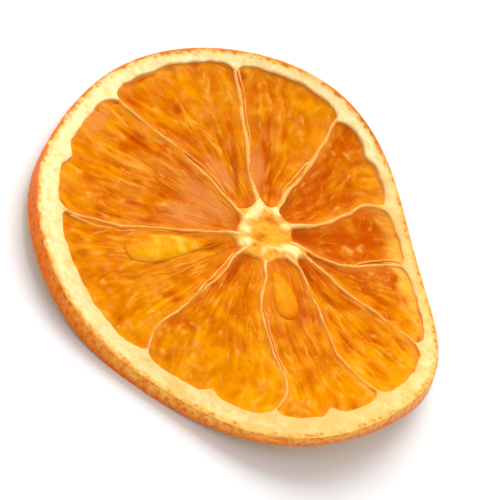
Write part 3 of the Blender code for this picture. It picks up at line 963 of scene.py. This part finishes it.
class Finish:
    """A finish and the nodes that it is made of."""

    def __init__(self, name):
        self.material = bpy.data.materials.new(name)
        self.material.use_nodes = True
        self.tree = self.material.node_tree
        self.shader = self.tree.nodes["Principled BSDF"]

    def node(self, kind, settings, inputs, output=0):
        """Adds a node with its settings and the value or link of each input, and gives the chosen output."""
        made = self.tree.nodes.new(kind)
        for label, value in settings.items():
            setattr(made, label, value)
        for key, value in inputs.items():
            self.put(made.inputs[key], value)
        return Number(self, made.outputs[output])

    def put(self, socket, value):
        """Links a worked-out number to a socket, or sets a plain one on it."""
        if isinstance(value, Number):
            self.tree.links.new(value.socket, socket)
        else:
            socket.default_value = value

    def mark(self, label):
        """A number that the piece carries at its points."""
        return self.node("ShaderNodeAttribute", {"attribute_name": label}, {}, "Fac")

    def place(self):
        """The place on the object, in millimetres."""
        spot = self.node("ShaderNodeTexCoord", {}, {}, "Object")
        return self.node("ShaderNodeVectorMath", {"operation": "SCALE"}, {0: spot, "Scale": METRE})

    def surface(self):
        """The piece's own coordinates: across and along it."""
        return self.node("ShaderNodeUVMap", {"uv_map": "surface"}, {})

    def stretched(self, vector, x, y):
        """A vector with its first two parts each multiplied by a number."""
        return self.node("ShaderNodeVectorMath", {"operation": "MULTIPLY"}, {0: vector, 1: (x, y, 1.0)})

    def noise(self, vector, scale, detail=2.0, roughness=0.5):
        """Smooth noise from 0 to 1."""
        inputs = {"Vector": vector, "Scale": scale, "Detail": detail, "Roughness": roughness}
        return self.node("ShaderNodeTexNoise", {}, inputs)

    def mix(self, first, second, share):
        """The first colour turning into the second as the share, which is kept from 0 to 1, grows."""
        first, second = (colour(paint) if isinstance(paint, tuple) else paint for paint in (first, second))
        return self.node("ShaderNodeMix", {"data_type": "RGBA"}, {0: share, 6: first, 7: second}, 2)

    def bump(self, height, distance, strength):
        """Fine relief from a height from 0 to 1 that stands for a distance in millimetres."""
        inputs = {"Height": height, "Distance": distance / METRE, "Strength": strength}
        self.put(self.shader.inputs["Normal"], self.node("ShaderNodeBump", {}, inputs))

    def finished(self, colour, roughness, fixed, glaze=0.0):
        """Links colour, roughness and glaze, sets the fixed values by name, and gives the material."""
        self.put(self.shader.inputs["Base Color"], colour)
        self.put(self.shader.inputs["Roughness"], roughness)
        self.put(self.shader.inputs["Coat Weight"], glaze)
        for label, value in fixed.items():
            self.shader.inputs[label].default_value = value
        return self.material


def colour(paint):
    """A colour given as it looks on screen, from 0 to 255, as the amounts of light that make it."""
    parts = np.array(paint) / 255.0
    light = np.where(parts <= 0.04045, parts / 12.92, ((parts + 0.055) / 1.055) ** 2.4)
    return (*light.tolist(), 1.0)


def flesh(shine, glow, depth, tint=GLOSS):
    """Fixed values of a surface: its gloss, how much light goes under it and how deep, the gloss's tint."""
    return {
        "Specular IOR Level": shine,
        "Specular Tint": colour(tint),
        "Subsurface Weight": glow,
        "Subsurface Scale": depth / METRE,
        "Coat Roughness": GLAZE_ROUGHNESS,
    }


def rind_finish():
    """Cottony cream pith, golden flavedo with darker oil glands, and porous peel; painted shade darkens the
    pith's sunken inner wall and reddens the peel at its foot, and painted shade with orange bounce light
    deepens the peel where the pith is pale.
    """
    finish = Finish("dried_rind")
    place = finish.place()
    inward = finish.mark("inward")
    pith = finish.mark("pith")
    gland = finish.mark("gland")
    pale = finish.mark("pale")
    soft = finish.noise(place, 0.45, detail=3.0)
    grain = finish.noise(place, 2.6, detail=4.0, roughness=0.6)
    mottle = finish.noise(place, 1.1)
    cream = finish.mix(PITH_GOLD, PITH_CREAM, pale * 1.1 + grain * 0.6 + soft * 3.0 - 1.87)
    cream = finish.mix(cream, PITH_BY_PULP, inward.between(2.0, 4.0) * 0.3 + soft * 2.0 - 1.0)
    cream = finish.mix(cream, PITH_BLOTCH, (mottle * 2.4 - 1.0).held() * 0.6)
    cream = finish.mix(cream, PITH_BY_PEEL, (1.0 - inward.between(0.2, 1.3)) * 0.55)
    # Painted shade: the pith's sunken inner wall turns dark orange, as the shade under the pith's edge.
    cream = finish.mix(cream, PITH_WALL_SHADE, finish.mark("sunk"))
    skin = finish.mix(PEEL_ORANGE, PEEL_YELLOW, mottle * 2.3 + soft * 0.8 - 1.02)
    # Painted shade: darker and redder towards the peel's foot and on the underside.
    skin = finish.mix(skin, PEEL_FOOT_SHADE, finish.mark("below") * 0.75)
    # Painted shade and painted orange bounce light: the peel turns deeper orange where the pith is pale.
    skin = finish.mix(skin, PEEL_BOUNCE_SHADE, (pale * 2.6 - 1.4).held() * 0.9)
    skin = finish.mix(skin, PEEL_PORE, gland * 0.65)
    rim = finish.mix(skin, PEEL_EDGE, inward.between(0.1, 0.6))
    shown = finish.mix(rim, cream, pith)
    shown = finish.mix(shown, CUT_GLAND, gland * inward.between(-0.1, 0.2) * 0.8)
    finish.bump(grain * 0.7 + finish.noise(place, 9.0, detail=3.0) * 0.3, distance=0.12, strength=0.8)
    return finish.finished(shown, 0.45 + pith * 0.4, flesh(shine=0.15, glow=0.1, depth=0.3))


def membrane_finish():
    """Dry, thin skin: pale orange, whiter where it joins the core and the pith."""
    finish = Finish("dried_membrane")
    place = finish.place()
    grain = finish.noise(place, 1.8, detail=3.0)
    crest = finish.mark("crest")
    pale = grain.between(0.3, 0.7) * 0.6 + crest.between(0.5, 0.9) * 0.5
    cream = finish.mark("tone") * crest.between(0.5, 0.95) * grain.between(0.2, 0.6) * 0.7
    shown = finish.mix(MEMBRANE_ORANGE, MEMBRANE_PALE, pale)
    shown = finish.mix(shown, MEMBRANE_CREAM, cream)
    finish.bump(finish.noise(place, 5.0, detail=3.0), distance=0.06, strength=0.7)
    return finish.finished(shown, 0.45, flesh(shine=0.15, glow=0.0, depth=0.3))


def core_finish():
    """The core's pale spongy lumps on an orange plate, with dark pits between them."""
    finish = Finish("dried_core")
    place = finish.place()
    grain = finish.noise(place, 2.2, detail=4.0, roughness=0.6)
    lobes = finish.mark("lobes")
    shown = finish.mix(CORE_AMBER, CORE_GOLD, grain.between(0.35, 0.65))
    shown = finish.mix(shown, CORE_YELLOW, finish.mark("middle") * 0.8)
    shown = finish.mix(shown, CORE_CREAM, lobes * 1.2 + grain * 0.5 - 0.4)
    shown = finish.mix(shown, CORE_PIT, finish.mark("pits") * (1.0 - lobes) * 0.8)
    shown = finish.mix(CORE_ROOT, shown, finish.mark("plate").between(0.2, 0.8))
    finish.bump(grain * 0.6 + finish.noise(place, 7.0, detail=3.0) * 0.4, distance=0.12, strength=0.8)
    return finish.finished(shown, 0.6, flesh(shine=0.15, glow=0.1, depth=0.3))


def pulp_finish():
    """Dried juice sacs: glossy amber, light where they stand up, thin pale walls and creases partly painted
    as highlights, painted glints, films, and hollows painted with shade.
    """
    finish = Finish("dried_pulp")
    place = finish.place()
    sacs = finish.surface()
    calm = finish.mark("calm")
    raised = finish.mark("raised")
    deep = finish.mark("deep")
    glazed = finish.mark("glaze")
    broad = finish.noise(place, 0.3)
    strands = (finish.noise(finish.stretched(sacs, 2.3, 1.1), 1.0, roughness=0.45) - 0.5) * calm + 0.5
    fine = finish.noise(finish.stretched(sacs, 6.0, 7.0), 1.0)
    mottle = finish.noise(place, 0.8, roughness=0.45)
    light = finish.mark("light") * 0.55 + finish.mark("own") * 0.28 + raised * 0.34
    light = light + strands * 0.34 + mottle * 0.28 + broad * 1.15 - 1.265
    shown = finish.mix(PULP_DARK, PULP_LIGHT, light)
    # Pale sac walls and creases: partly their own colour, partly painted highlights.
    shown = finish.mix(shown, PULP_WALL_SHEEN, finish.mark("wall") * fine.between(0.35, 0.6) * 0.6)
    # Painted highlights: pale glints on the pulp.
    shown = finish.mix(shown, PULP_GLINT, finish.mark("glint") * 0.4)
    shown = finish.mix(shown, PULP_FILM, finish.mark("film").between(0.1, 0.9) * 0.7)
    shown = finish.mix(shown, PULP_FRINGE, finish.mark("fringe") * (0.5 + strands * 0.9))
    # Painted shade: dark red-brown in the sunk patches and gaps.
    shown = finish.mix(shown, PULP_HOLLOW_SHADE, deep.between(0.1, 0.9) * 0.7)
    shown = finish.mix(shown, PULP_SIDE, finish.mark("side") * 0.6)
    shown = finish.mix(shown, PULP_GLAZE, glazed * 0.5)
    finish.bump(strands * 0.4 + fine * calm * 0.25 + mottle * 0.35, distance=0.14, strength=0.5)
    gloss = raised.between(0.5, 0.9) * mottle.between(0.4, 0.65) * (1.0 - deep) * 0.22 * calm + glazed * 0.1
    return finish.finished(shown, 0.2 + strands * 0.12, flesh(shine=0.0, glow=0.3, depth=1.5), gloss.held())


def seed_finish():
    """A seed under a dried glaze: translucent yellow in the middle, amber towards its edges, with painted
    highlights on its top and one side painted yellower as light glowing through it.
    """
    finish = Finish("dried_seed")
    place = finish.place()
    middle = finish.mark("middle")
    glow = finish.mark("glow")
    grain = finish.noise(place, 0.9, detail=3.0)
    # The side mark paints one side of each seed yellower, as light glowing through it.
    yellow = middle * 0.9 + grain * 1.6 + finish.mark("side") * 0.3 - 1.0
    # Painted highlights: pale yellow spots on the top of each seed.
    highlight_spots = finish.noise(place, 0.55, detail=1.0).between(0.45, 0.75) * middle * glow
    shown = finish.mix(SEED_AMBER, SEED_YELLOW, yellow * glow)
    shown = finish.mix(shown, SEED_HIGHLIGHT, highlight_spots * 0.6)
    finish.bump(grain, distance=0.15, strength=0.5)
    return finish.finished(shown, 0.3, flesh(shine=0.0, glow=0.5, depth=2.0, tint=SEED_GLOSS), middle * 0.05)


# The slice.
rind()
membranes()
core()
PULP_FINISH = pulp_finish()
for segment_index in range(len(MEMBRANES)):
    pulp(segment_index)
SEED_FINISH = seed_finish()
for seed_index, seed_form in enumerate(SEEDS):
    seed(seed_index, *seed_form)


# The floor, the light and the camera.
def floor():
    """A plain white floor."""
    mesh = bpy.data.meshes.new("floor")
    corners = [(x * FLOOR_HALF, y * FLOOR_HALF, 0.0) for x, y in ((-1, -1), (1, -1), (1, 1), (-1, 1))]
    mesh.from_pydata(corners, [], [(0, 1, 2, 3)])
    mesh.materials.append(Finish("floor").finished(FLOOR_LIGHT, FLOOR_ROUGHNESS, {}))
    add("floor", mesh)


def hang(name, data, aim, toward, distance, roll=0.0):
    """An object that hangs in a direction from its aim and faces it, rolled about its line of sight."""
    made = add(name, data)
    made.location = Vector(aim) + Vector(toward).normalized() * distance
    made.rotation_mode = "QUATERNION"
    made.rotation_quaternion = Vector(toward).to_track_quat("Z", "Y") @ Quaternion((0, 0, 1), roll)
    return made


def lamp():
    """A square soft light."""
    data = bpy.data.lights.new("key", "AREA")
    data.size = KEY_SIZE
    data.energy = KEY_POWER
    hang("key", data, (0, 0, 0), KEY_DIRECTION, KEY_DISTANCE)


def camera():
    """A long lens that looks down at the slice as in the photo, its distance set by the field's width."""
    data = bpy.data.cameras.new("camera")
    data.lens = CAMERA_LENS
    elevation = math.radians(CAMERA_ELEVATION)
    toward = (0.0, -math.cos(elevation), math.sin(elevation))
    distance = CAMERA_LENS / data.sensor_width * CAMERA_FIELD
    roll = math.radians(CAMERA_ROLL)
    bpy.context.scene.camera = hang("camera", data, CAMERA_AIM, toward, distance, roll)


floor()
world = bpy.data.worlds.new("surroundings")
world.use_nodes = True
background = world.node_tree.nodes["Background"].inputs
background["Color"].default_value = (1.0, 1.0, 1.0, 1.0)
background["Strength"].default_value = SURROUNDING_LIGHT
bpy.context.scene.world = world
lamp()
bpy.context.scene.view_settings.view_transform = "Standard"
camera()
